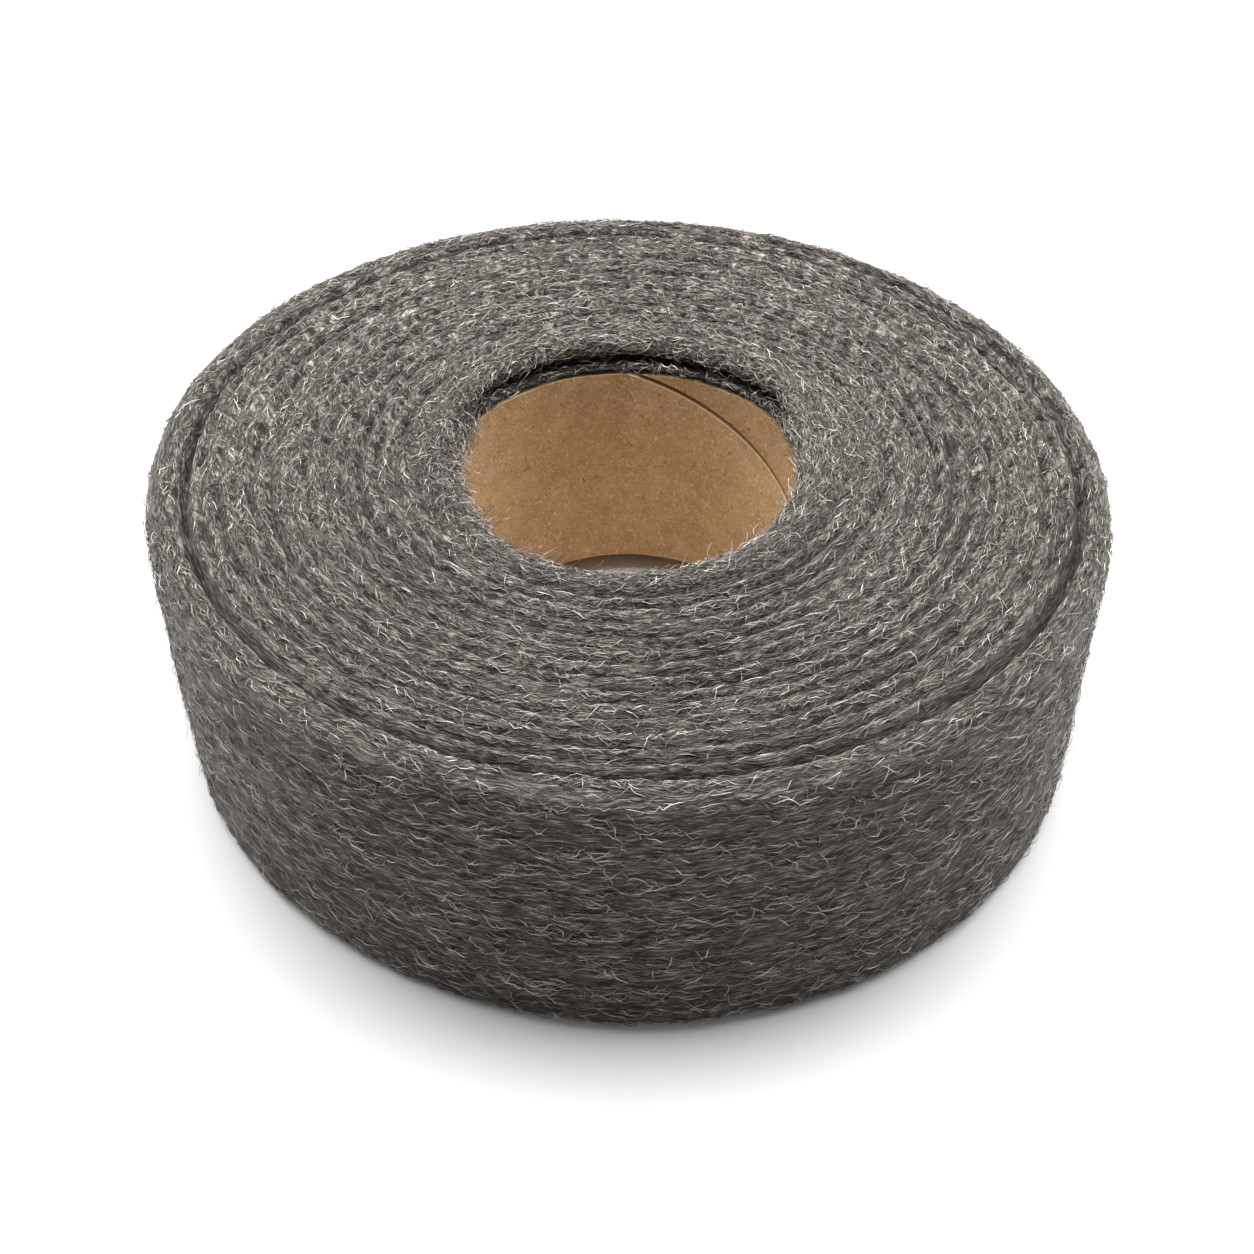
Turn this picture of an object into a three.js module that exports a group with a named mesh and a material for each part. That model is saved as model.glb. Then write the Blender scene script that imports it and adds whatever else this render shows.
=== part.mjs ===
// A roll of steel wool lying on its end: one long ribbon of steel wool wound on a cardboard tube.
// Millimetres, +Z up along the roll's axis. The origin is the centre of the end that the roll rests on.
import * as THREE from "three";

// The cardboard tube. Its bore fits a spindle of the common 76 mm kind, and it is shorter than the ribbon is
// wide, so that it sits back from both ends of the roll.
const BORE_RADIUS = 38;
const CORE_WALL = 2.5;
const CORE_LENGTH = 53.5;
const CORE_FOOT_Z = 4.5;
const CORE_EDGE_ROUND = 0.4;

// The wound ribbon. Its width is the roll's height, and it keeps a little clear of the tube that it grips.
const ROLL_RADIUS = 100;
const RIBBON_WIDTH = 65;
const TURNS = 15;
const GAP_TO_CORE = 0.3;

// How far the soft roll is from round: its outside is drawn out along one diagonal by this share of its
// radius.
const OVALITY = 0.015;

// Between each two turns is a groove, which runs as one spiral over each end of the roll. The foot's groove
// is the shallower one, because the roll's own weight presses the edges of the ribbon flat there.
const TOP_GROOVE = { depth: 1.6, halfWidth: 0.9 };
const FOOT_GROOVE = { depth: 0.8, halfWidth: 0.6 };
const GROOVE_START_LENGTH = 1.5;
const TAIL_FADE_TURNS = 0.12;

// The outermost turn rounds over to the side of the roll, more at the top than at the foot.
const TOP_EDGE_ROUND = 5;
const FOOT_EDGE_ROUND = 3;
const EDGE_STEPS = 4;

// The first turn bulges in over the tube's rim as a lip, with a crevice between it and the next turns.
const CREST_OUTSET = 2.2;
const CREVICE_OUTSET = 0.8;
const CREVICE_DEPTH = 0.9;
const LIP_OVERHANG = 1.6;
const LIP_THICKNESS = 3.2;

const SECTORS = 48;
const SMALLEST_STEP = 0.05;

const coreOuterRadius = BORE_RADIUS + CORE_WALL;
const coreTopZ = CORE_FOOT_Z + CORE_LENGTH;
const woolBoreRadius = coreOuterRadius + GAP_TO_CORE;
const topFlatRadius = ROLL_RADIUS - TOP_EDGE_ROUND;
const footFlatRadius = ROLL_RADIUS - FOOT_EDGE_ROUND;
const turnThickness = (topFlatRadius - TOP_GROOVE.halfWidth - woolBoreRadius) / TURNS;

// The tube is a plain turned section: two walls and two cut ends, with the corners a little rounded.
function coreGeometry() {
  const round = CORE_EDGE_ROUND;
  const section = [
    [BORE_RADIUS, CORE_FOOT_Z + round],
    [BORE_RADIUS + round, CORE_FOOT_Z],
    [coreOuterRadius - round, CORE_FOOT_Z],
    [coreOuterRadius, CORE_FOOT_Z + round],
    [coreOuterRadius, coreTopZ - round],
    [coreOuterRadius - round, coreTopZ],
    [BORE_RADIUS + round, coreTopZ],
    [BORE_RADIUS, coreTopZ - round],
    [BORE_RADIUS, CORE_FOOT_Z + round],
  ];
  const points = section.map(([radius, z]) => new THREE.Vector2(radius, z));
  return new THREE.LatheGeometry(points, SECTORS).rotateX(Math.PI / 2);
}

// Where the spiral groove crosses one section, as [radius, depth] from the innermost crossing out, with a
// point on each side of it. share says how far round the roll the section is, from 0 to 1. The groove starts
// shallow at innerRadius, and fades out along the ribbon's tail, which is felted on to the turn below.
function grooveCrossings(share, groove, innerRadius) {
  const crossings = [];
  for (let turn = 0; turn < TURNS; turn++) {
    const turnsWound = turn + share;
    const radius = woolBoreRadius + turnThickness * turnsWound;
    const start = THREE.MathUtils.smoothstep(radius - innerRadius, 0, GROOVE_START_LENGTH);
    const tail = THREE.MathUtils.smoothstep(TURNS - turnsWound, 0, TAIL_FADE_TURNS);
    crossings.push([radius - groove.halfWidth, 0]);
    crossings.push([radius, groove.depth * start * tail]);
    crossings.push([radius + groove.halfWidth, 0]);
  }
  return crossings.filter(([radius]) => radius > innerRadius + SMALLEST_STEP);
}

// A quarter of a circle about [centreRadius, centreZ], as [radius, z], from one angle of the section to 90
// degrees on.
function quarterRound(centreRadius, centreZ, round, fromAngle) {
  const points = [];
  for (let step = 0; step <= EDGE_STEPS; step++) {
    const angle = fromAngle + (step / EDGE_STEPS) * (Math.PI / 2);
    points.push([centreRadius + round * Math.cos(angle), centreZ + round * Math.sin(angle)]);
  }
  return points;
}

// One section of the wound ribbon, as a list of { station, radius, z }: out along the foot, up the outside,
// in over the turns and the lip, and down the bore. Points of neighbouring sections that belong together
// have nearly the same station.
function woolSection(share) {
  const section = [];
  const addAll = (points, stationOf) => {
    points.forEach(([radius, z], index) => section.push({ station: stationOf(radius, index), radius, z }));
  };

  const foot = grooveCrossings(share, FOOT_GROOVE, woolBoreRadius);
  addAll([[woolBoreRadius, 0], ...foot], (radius) => radius);

  const footEdge = quarterRound(footFlatRadius, FOOT_EDGE_ROUND, FOOT_EDGE_ROUND, -Math.PI / 2);
  const topEdge = quarterRound(topFlatRadius, RIBBON_WIDTH - TOP_EDGE_ROUND, TOP_EDGE_ROUND, 0);
  const outsideStation = ROLL_RADIUS;
  addAll([...footEdge, ...topEdge], (radius, index) => outsideStation + index);

  const crestRadius = woolBoreRadius + CREST_OUTSET;
  const top = grooveCrossings(share, TOP_GROOVE, crestRadius).reverse();
  const topStation = outsideStation + footEdge.length + topEdge.length + topFlatRadius;
  addAll(top.map(([radius, depth]) => [radius, RIBBON_WIDTH - depth]), (radius) => topStation - radius);

  const lipFootZ = coreTopZ + GAP_TO_CORE;
  const lipTopZ = lipFootZ + LIP_THICKNESS;
  const lip = [
    [crestRadius, RIBBON_WIDTH],
    [woolBoreRadius + CREVICE_OUTSET, lipTopZ - CREVICE_DEPTH],
    [woolBoreRadius - LIP_OVERHANG / 3, lipTopZ],
    [woolBoreRadius - LIP_OVERHANG, (lipTopZ + lipFootZ) / 2],
    [woolBoreRadius - LIP_OVERHANG, lipFootZ],
    [woolBoreRadius, lipFootZ],
  ];
  addAll(lip, (radius, index) => topStation + index);
  return section;
}

// A point of a section in its place round the roll. The bore stays round, and the outside is a little oval.
function placed(radius, z, angle) {
  const outness = (radius - woolBoreRadius) / (ROLL_RADIUS - woolBoreRadius);
  const drawn = radius * (1 - OVALITY * Math.max(outness, 0) * Math.sin(2 * angle));
  return [drawn * Math.cos(angle), drawn * Math.sin(angle), z];
}

// Joins two neighbouring sections with triangles, always stepping on along the one that lags behind.
function zip(here, next, triangles) {
  let i = 0;
  let j = 0;
  while (i < here.length - 1 || j < next.length - 1) {
    const hereStation = i < here.length - 1 ? here[i + 1].station : Infinity;
    const nextStation = j < next.length - 1 ? next[j + 1].station : Infinity;
    if (hereStation <= nextStation) {
      triangles.push(here[i].vertex, next[j].vertex, here[i + 1].vertex);
      i++;
    } else {
      triangles.push(here[i].vertex, next[j].vertex, next[j + 1].vertex);
      j++;
    }
  }
}

// All the turns as one closed body: sections round the roll, zipped together. Each groove moves out by one
// turn's thickness on its way round, so at the last joint it meets the next groove of the first section.
function woolGeometry() {
  const positions = [];
  const sections = [];
  for (let sector = 0; sector < SECTORS; sector++) {
    const share = sector / SECTORS;
    const angle = Math.PI / 2 + share * 2 * Math.PI;
    const section = woolSection(share).map(({ station, radius, z }) => {
      positions.push(...placed(radius, z, angle));
      return { station, vertex: positions.length / 3 - 1 };
    });
    section.push({ station: section.at(-1).station + 1, vertex: section[0].vertex });
    sections.push(section);
  }

  const triangles = [];
  sections.forEach((section, sector) => zip(section, sections[(sector + 1) % SECTORS], triangles));

  const geometry = new THREE.BufferGeometry();
  geometry.setAttribute("position", new THREE.Float32BufferAttribute(positions, 3));
  geometry.setIndex(triangles);
  geometry.computeVertexNormals();
  return geometry;
}

function piece(name, geometry, look) {
  const mesh = new THREE.Mesh(geometry, new THREE.MeshStandardMaterial(look));
  mesh.name = name;
  return mesh;
}

const kraftPaper = { color: 0xa5825e, roughness: 0.9, metalness: 0 };
const steelWool = { color: 0x7a756f, roughness: 0.55, metalness: 0.8 };

const steelWoolRoll = new THREE.Group();
steelWoolRoll.name = "steel_wool_roll";
steelWoolRoll.add(piece("cardboard_core", coreGeometry(), kraftPaper));
steelWoolRoll.add(piece("steel_wool_ribbon", woolGeometry(), steelWool));

export default steelWoolRoll;
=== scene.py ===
# %% [markdown]
# # A roll of steel wool
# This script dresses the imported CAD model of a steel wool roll. The real thing has two pieces: a ribbon
# of steel wool, which is a loose felt of steel fibres shaved off a wire, and the cardboard tube that it
# is wound on. The frame gives their sizes and places, and everything here is in metres around it.

# %% Load the frame
import math

import bpy
import numpy as np
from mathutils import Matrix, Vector


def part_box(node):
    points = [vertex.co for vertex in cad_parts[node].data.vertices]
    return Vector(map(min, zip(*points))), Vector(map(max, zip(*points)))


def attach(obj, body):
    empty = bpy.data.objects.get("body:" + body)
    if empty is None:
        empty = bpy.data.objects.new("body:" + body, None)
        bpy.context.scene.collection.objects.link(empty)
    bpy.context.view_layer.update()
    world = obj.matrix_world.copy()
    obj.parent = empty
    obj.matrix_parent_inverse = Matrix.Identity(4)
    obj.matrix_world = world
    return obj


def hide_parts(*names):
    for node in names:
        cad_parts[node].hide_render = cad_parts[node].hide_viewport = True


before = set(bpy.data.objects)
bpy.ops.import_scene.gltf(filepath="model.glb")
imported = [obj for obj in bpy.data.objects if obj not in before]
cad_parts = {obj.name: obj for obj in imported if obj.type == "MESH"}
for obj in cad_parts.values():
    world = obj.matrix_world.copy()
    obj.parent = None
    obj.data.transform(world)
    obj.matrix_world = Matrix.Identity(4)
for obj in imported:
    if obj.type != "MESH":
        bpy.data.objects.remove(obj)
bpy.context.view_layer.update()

wool_low, wool_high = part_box("steel_wool_ribbon")
core_low, core_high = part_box("cardboard_core")
print("wool from", wool_low, "to", wool_high)
print("tube from", core_low, "to", core_high)

# %% [markdown]
# ## Camera
# The roll stands on its end, and the camera looks down on it at about forty degrees with a normal lens.
# That shows the spiral on the top, the side, and the tube inside. The direction is worked out from the
# angle, so the camera only needs a target and a distance.

# %% Camera
CAMERA_TARGET = Vector((0.0002, 0.0, 0.0147))
CAMERA_DISTANCE = 0.4043
CAMERA_ELEVATION = math.radians(41.9)
LENS_MM = 51.0
SENSOR_MM = 36.0

camera_data = bpy.data.cameras.new("camera")
camera_data.lens = LENS_MM
camera_data.sensor_width = SENSOR_MM
camera_data.clip_start = 0.01
camera = bpy.data.objects.new("camera", camera_data)
bpy.context.scene.collection.objects.link(camera)
view_direction = Vector((0, math.cos(CAMERA_ELEVATION), -math.sin(CAMERA_ELEVATION)))
camera.location = CAMERA_TARGET - CAMERA_DISTANCE * view_direction
camera.rotation_euler = view_direction.to_track_quat("-Z", "Y").to_euler()
bpy.context.scene.camera = camera
print("camera at", tuple(round(x, 4) for x in camera.location))

# %% [markdown]
# ## Helpers for materials
# Every finish here is made of shader nodes, with no pictures. A colour is written as the sRGB hex value
# that a colour picker shows, and one function turns it to the linear value that a socket holds. Another
# adds a node with its settings and its links in one call, so that a material reads as a list of nodes.


# %% Helpers for colours and materials
def linear(hex_colour):
    """An sRGB colour such as '#a07850' as the linear RGBA that Blender's sockets hold."""
    values = []
    for start in (1, 3, 5):
        share = int(hex_colour[start:start + 2], 16) / 255
        values.append(share / 12.92 if share <= 0.04045 else ((share + 0.055) / 1.055) ** 2.4)
    return (*values, 1.0)


def node(tree, kind, settings=None, **inputs):
    """Adds one node. Settings are its properties, and inputs are values or the sockets to link from."""
    made = tree.nodes.new(kind)
    for name, value in (settings or {}).items():
        setattr(made, name, value)
    for name, value in inputs.items():
        key = int(name[1:]) if name[0] == "i" and name[1:].isdigit() else name.replace("_", " ")
        if isinstance(value, bpy.types.NodeSocket):
            tree.links.new(value, made.inputs[key])
        else:
            made.inputs[key].default_value = value
    return made


def new_material(name):
    """A material with an empty node tree, and its Principled shader linked to the output."""
    material = bpy.data.materials.new(name)
    material.use_nodes = True
    tree = material.node_tree
    tree.nodes.clear()
    shader = tree.nodes.new("ShaderNodeBsdfPrincipled")
    output = tree.nodes.new("ShaderNodeOutputMaterial")
    tree.links.new(shader.outputs["BSDF"], output.inputs["Surface"])
    return material, tree, shader


def colour_ramp(tree, share, stops):
    """A colour ramp fed by share, with stops as (place, hex colour)."""
    ramp = node(tree, "ShaderNodeValToRGB", Fac=share)
    elements = ramp.color_ramp.elements
    while len(elements) < len(stops):
        elements.new(0.5)
    for element, (place, hex_colour) in zip(elements, stops):
        element.position = place
        element.color = linear(hex_colour)
    return ramp.outputs["Color"]


print("a mid grey of #808080 is", round(linear("#808080")[0], 3), "in linear light")

# %% [markdown]
# ## Floor and light
# The floor is the flat part of a white paper sweep. A broad softbox hangs overhead, a little behind the
# roll, and one stands on each side. Big lights give the soft shadow that gathers in front of the foot.
# They stand behind the middle, so the near side is darker than the top. A pale world fills in.

# %% Floor and light
FLOOR_SIZE = 6.0
WORLD_COLOUR = "#ffffff"
WORLD_STRENGTH = 0.28

bpy.ops.object.select_all(action="DESELECT")
bpy.ops.mesh.primitive_plane_add(size=FLOOR_SIZE, location=(0, 0, 0))
floor = bpy.context.active_object
floor.name = "floor"
floor_paint, _, floor_shader = new_material("white_paper_sweep")
floor_shader.inputs["Base Color"].default_value = linear("#efefef")
floor_shader.inputs["Roughness"].default_value = 0.9
floor_shader.inputs["Specular IOR Level"].default_value = 0.1
floor.data.materials.append(floor_paint)

world = bpy.data.worlds.new("pale_studio")
world.use_nodes = True
world.node_tree.nodes["Background"].inputs["Color"].default_value = linear(WORLD_COLOUR)
world.node_tree.nodes["Background"].inputs["Strength"].default_value = WORLD_STRENGTH
bpy.context.scene.world = world


def softbox(name, place, size, power):
    """A square area light that faces the middle of the roll."""
    light = bpy.data.lights.new(name, "AREA")
    light.shape = "SQUARE"
    light.size = size
    light.energy = power
    lamp = bpy.data.objects.new(name, light)
    bpy.context.scene.collection.objects.link(lamp)
    lamp.location = place
    lamp.rotation_euler = (CAMERA_TARGET - Vector(place)).to_track_quat("-Z", "Y").to_euler()


SOFTBOXES = [  # name, place, width in metres, power in watts
    ("overhead_softbox", (0.0, 0.33, 1.0), 1.0, 21.5),
    ("left_softbox", (-0.75, 0.3, 0.9), 0.8, 8.2),
    ("right_softbox", (0.75, 0.3, 0.9), 0.8, 9.4),
]
for box_name, place, size, power in SOFTBOXES:
    softbox(box_name, place, size, power)
    print(box_name, "at", place, "with", power, "W")
bpy.context.scene.view_settings.view_transform = "Standard"

# %% [markdown]
# ## The form of the wound ribbon
# A turn of the ribbon is a few millimetres thick, and its edge shows on each end of the roll as a soft
# rounded strand, with a dark groove between it and the next. The grooves are one spiral. A smooth lathe
# shape with a bump map would look printed, so the form is worked out as one function: given an angle
# round the roll and a distance across its outline, it gives a place and the way out of the surface. The
# turned body and every fibre on it use that same function, so they fit together.

# %% Sizes, in millimetres
MM = 0.001
ROLL_RADIUS = wool_high[0] / MM
ROLL_HEIGHT = wool_high[2] / MM
CORE_OUTER_RADIUS = core_high[0] / MM
CORE_WALL = 2.5
CORE_BORE_RADIUS = CORE_OUTER_RADIUS - CORE_WALL
CORE_FOOT_Z = core_low[2] / MM
CORE_TOP_Z = core_high[2] / MM
GAP_TO_CORE = 0.3
WOOL_BORE_RADIUS = CORE_OUTER_RADIUS + GAP_TO_CORE
TURNS = 15
LAST_GROOVE_INSET = 5.9  # from the outside of the roll to where the spiral groove ends
TURN_THICKNESS = (ROLL_RADIUS - LAST_GROOVE_INSET - WOOL_BORE_RADIUS) / TURNS
OVALITY = 0.015
FIBRE_LAYER = 0.8  # how deep the loose fibres lie on the body of the wool
print(f"a turn is {TURN_THICKNESS:.2f} mm thick")

# %% [markdown]
# The outline goes from under the lip on the tube's rim, over the crest of the first turns, out over the
# top, round the shoulder, down the side and in under the foot, to the bore wall. A few corner points give
# it, and cutting each corner off three times rounds it, as sanding would. There are two outlines with the
# same number of points: at the back the first turn has sunk and left an open crevice, and everywhere else
# the rim is full and bulges in over the tube. Round the roll, one passes smoothly into the other.


# %% The outline of the roll's section
CORNER_CUTS = 3


def rounded(points):
    """Cuts the corners off an open line of points, again and again, until it is a smooth curve."""
    line = np.array(points, float)
    for _ in range(CORNER_CUTS):
        # Each corner is cut off from three quarters along one side to a quarter along the next.
        near = 0.75 * line[:-1] + 0.25 * line[1:]
        far = 0.25 * line[:-1] + 0.75 * line[1:]
        inner = np.stack([near, far], 1).reshape(-1, 2)
        line = np.vstack([line[:1], inner, line[-1:]])
    return line


TOP = ROLL_HEIGHT - FIBRE_LAYER
SIDE = ROLL_RADIUS - FIBRE_LAYER
FOOT = FIBRE_LAYER
LIP = CORE_TOP_Z + GAP_TO_CORE
BORE_MIDDLE = (WOOL_BORE_RADIUS, CORE_FOOT_Z + 20)
OPEN_RIM = [
    (WOOL_BORE_RADIUS, LIP), (WOOL_BORE_RADIUS - 2.4, LIP), (WOOL_BORE_RADIUS - 2.6, LIP + 0.9),
    (WOOL_BORE_RADIUS - 1.0, LIP + 1.0), (WOOL_BORE_RADIUS + 2.4, LIP + 0.5),
    (WOOL_BORE_RADIUS + 3.0, LIP + 2.3), (WOOL_BORE_RADIUS - 0.2, LIP + 2.8),
    (WOOL_BORE_RADIUS + 0.4, TOP - 1.1), (WOOL_BORE_RADIUS + 3.4, TOP + 1.0),
]
FULL_RIM = [
    (WOOL_BORE_RADIUS, LIP), (WOOL_BORE_RADIUS - 2.6, LIP), (WOOL_BORE_RADIUS - 4.2, LIP + 1.4),
    (WOOL_BORE_RADIUS - 4.8, LIP + 2.6), (WOOL_BORE_RADIUS - 4.8, LIP + 3.8),
    (WOOL_BORE_RADIUS - 4.4, TOP - 1.4), (WOOL_BORE_RADIUS - 3.4, TOP - 0.5),
    (WOOL_BORE_RADIUS - 1.8, TOP + 0.2), (WOOL_BORE_RADIUS + 1.5, TOP + 0.5),
]
REST_OF_OUTLINE = [
    (WOOL_BORE_RADIUS + 6.5, TOP), (SIDE - 6.0, TOP), (SIDE - 3.4, TOP + 0.5), (SIDE + 0.1, TOP - 1.2),
    (SIDE + 0.1, TOP - 5.5), (SIDE, 5.0), (SIDE - 0.4, FOOT), (SIDE - 5.0, FOOT),
    (WOOL_BORE_RADIUS + 1.0, FOOT), (WOOL_BORE_RADIUS, FOOT + 0.8), BORE_MIDDLE,
]
outline = rounded([BORE_MIDDLE, *OPEN_RIM, *REST_OF_OUTLINE])
full_outline = rounded([BORE_MIDDLE, *FULL_RIM, *REST_OF_OUTLINE])
print("each outline has", len(outline), "points")

# %% [markdown]
# A place on the outline is given as a distance across it: the millimetres from its start on the bore
# wall. These are the distances where one part of the roll passes into the next, from the lip to the foot.


# %% Distances across the outline
steps = np.hypot(*np.diff(outline, axis=0).T)
outline_length = np.concatenate([[0.0], np.cumsum(steps)])
tangents = np.gradient(outline, outline_length, axis=0)
full_tangents = np.gradient(full_outline, outline_length, axis=0)


def across_where(radius, z):
    """The distance across the outline of its point nearest to (radius, z)."""
    distance = np.hypot(outline[:, 0] - radius, outline[:, 1] - z)
    return float(outline_length[np.argmin(distance)])


def outline_radius(across):
    """The plain outline's distance from the axis, so far across it."""
    return np.interp(across, outline_length, outline[:, 0])


LIP_NOSE = across_where(WOOL_BORE_RADIUS - 2.2, LIP)
CREVICE = across_where(WOOL_BORE_RADIUS + 2.4, LIP + 1.3)
CREST = across_where(WOOL_BORE_RADIUS + 3.0, TOP)
TOP_START = across_where(WOOL_BORE_RADIUS + 6.5, TOP)
TOP_END = across_where(SIDE - 6.0, TOP)
SHOULDER_END = across_where(SIDE, TOP - 9)
SIDE_END = across_where(SIDE, 5)
FOOT_START = across_where(SIDE - 5.0, FOOT)
FOOT_END = across_where(WOOL_BORE_RADIUS + 1.5, FOOT)
OUTLINE_END = float(outline_length[-1])
print(f"the outline is {OUTLINE_END:.0f} mm long, with the top from {TOP_START:.0f} to {TOP_END:.0f} mm")

# %% [markdown]
# Nothing in steel wool repeats exactly, so the depths, widths and heights wander. Each wandering value
# comes from a table of random numbers, laid out round the roll and across the outline, and smoothed
# between its entries. The table closes on itself round the roll, so there is no seam, and each one has
# its own seed.


# %% Smooth random values round the roll
def smooth_step(value, low, high):
    """0 below low and 1 above high, with a soft passage between them."""
    share = np.clip((value - low) / (high - low), 0, 1)
    return share * share * (3 - 2 * share)


CELLS_ACROSS = 512
FIRST_CELL = 40


def wandering(seed, cells_round, cell_across):
    """A function of an angle and a distance across in millimetres, which wanders smoothly from -1 to 1."""
    table = np.random.default_rng(seed).uniform(-1, 1, (cells_round, CELLS_ACROSS))

    def value(angle, across):
        along = (np.asarray(angle) / math.tau % 1) * cells_round
        over = np.asarray(across) / cell_across + FIRST_CELL
        i = np.floor(along).astype(int)
        j = np.floor(over).astype(int)
        a = smooth_step(along - i, 0, 1)
        b = smooth_step(over - j, 0, 1)
        i0, i1 = i % cells_round, (i + 1) % cells_round
        j0, j1 = j % CELLS_ACROSS, (j + 1) % CELLS_ACROSS
        low = table[i0, j0] * (1 - a) + table[i1, j0] * a
        high = table[i0, j1] * (1 - a) + table[i1, j1] * a
        return low * (1 - b) + high * b
    return value


groove_wobble = wandering(1, 11, 9.0)
swell = wandering(2, 9, 14.0)
turn_height = wandering(3, 14, 3.6)
bundles = wandering(4, 70, 1.9)
streaks = wandering(5, 130, 1.1)
drift = wandering(6, 40, 6.0)
groove_depth_wander = wandering(7, 13, 1.0)
rim_wander = wandering(8, 24, 3.0)
gaps = wandering(9, 110, 0.9)
print("the swell at the front of the side is", round(float(swell(-math.pi / 2, 120.0)), 2))

# %% [markdown]
# Most grooves are shallow and come and go, where neighbouring turns have felted together. A few lie open
# and dark: the one inside the last, loosest turn all the way round, and some stretches further in. The
# grooves are one spiral, so the depth is a function of the turns wound so far. It fades out at the
# ribbon's end.

# %% Depth of the grooves
SHALLOW_GROOVE = 1.7
SHALLOW_SHARES = (0.35, 2)  # the least and the most of that depth that a shallow groove has
LAST_GROOVE = 5.4
OPEN_STRETCHES = [  # turns from the start of the ribbon, its reach in turns each way, and the depth
    (1.55, 0.22, 2.4), (2.5, 0.2, 1.6), (6.95, 0.13, 2.6), (4.9, 0.2, 1.5), (8.5, 0.18, 1.3),
    (10.3, 0.25, 1.5), (12.2, 0.22, 1.5), (9.6, 0.12, 1.4), (3.75, 0.2, 1.6), (11.4, 0.2, 1.3),
    (12.85, 0.2, 1.5), (5.8, 0.15, 1.3),
]
LAST_GROOVE_FROM = (13.6, 13.9)  # in turns wound: where it starts to open, and where it is open
TAIL_TURNS = 0.14  # the length of the felted-down end of the ribbon


def groove_depth(turns_wound):
    """How deep the spiral groove is, so many turns from the ribbon's start."""
    wander = groove_depth_wander(turns_wound * math.tau, turns_wound)
    depth = SHALLOW_GROOVE * np.clip(0.9 + 0.7 * wander, *SHALLOW_SHARES)
    for middle, reach, open_depth in OPEN_STRETCHES:
        depth = np.maximum(depth, open_depth * np.exp(-((turns_wound - middle) / reach) ** 2))
    last = LAST_GROOVE * smooth_step(turns_wound, *LAST_GROOVE_FROM) * (0.85 + 0.25 * wander)
    depth = np.maximum(depth, last)
    return depth * smooth_step(TURNS - turns_wound, 0.0, TAIL_TURNS)


print("the last groove is", round(float(groove_depth(14.3)), 1), "mm deep near its middle")

# %% [markdown]
# ## The relief
# The relief is how far the wool stands out from its plain outline. On the top it is each turn's own
# height, less the groove beside it: a narrow notch in a wide, shallow hollow. The side has no grooves,
# only slow swells and bundles of fibres, and on the foot the roll's weight has pressed the turns nearly
# flat. The groove's share is given back too, because the fibres leave the deep grooves bare.

# %% The relief of the wool
RIM_OPENING = (0.2, 0.75)  # the sine of the angle, from the full rim to the open crevice at the back
NEAR_RIM_SINK = 0.35  # how much less full the rim is on the near side
NOTCH_WIDTH = 0.36
NOTCH_WIDENING = 0.12  # more width for each millimetre of depth
NOTCH_SHARE = 0.65  # how much of a groove's depth is its notch
HOLLOW_SHARE = 0.35
HOLLOW_WIDTH = 1.25
TURN_RELIEF = 0.35
TOP_SWELL = 0.2
SIDE_SWELL = 0.4
SIDE_FINENESS = 1.6  # the bundles stand out more on the side
DRIFT = 0.9  # how far a bundle wanders across the winding
BUNDLE_RELIEF = 0.16
STREAK_RELIEF = 0.05
ROUNDED_FINENESS = 0.6  # of the bundles and streaks, how much shows where the outline curves
FOOT_SQUASH = 0.2
SEAM_FADE = 3.0  # the relief fades out at the ends of the outline, which meet on the bore wall
CREVICE_SHADE = 2.0  # the open crevice keeps fibres away, as a groove this deep does
CREVICE_REACH = 2.4


def turn_share(angle):
    """How far round the roll an angle is from the ribbon's start at the back, from 0 to 1."""
    return (np.asarray(angle) / math.tau - 0.25) % 1


def rim_fullness(angle):
    """How full the rim is there: 0 at the back, where the crevice lies open, to 1 at the sides."""
    away_from_back = 1 - smooth_step(np.sin(angle), *RIM_OPENING)
    return away_from_back * (1 - NEAR_RIM_SINK * np.clip(-np.sin(angle), 0, 1) ** 2)


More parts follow.
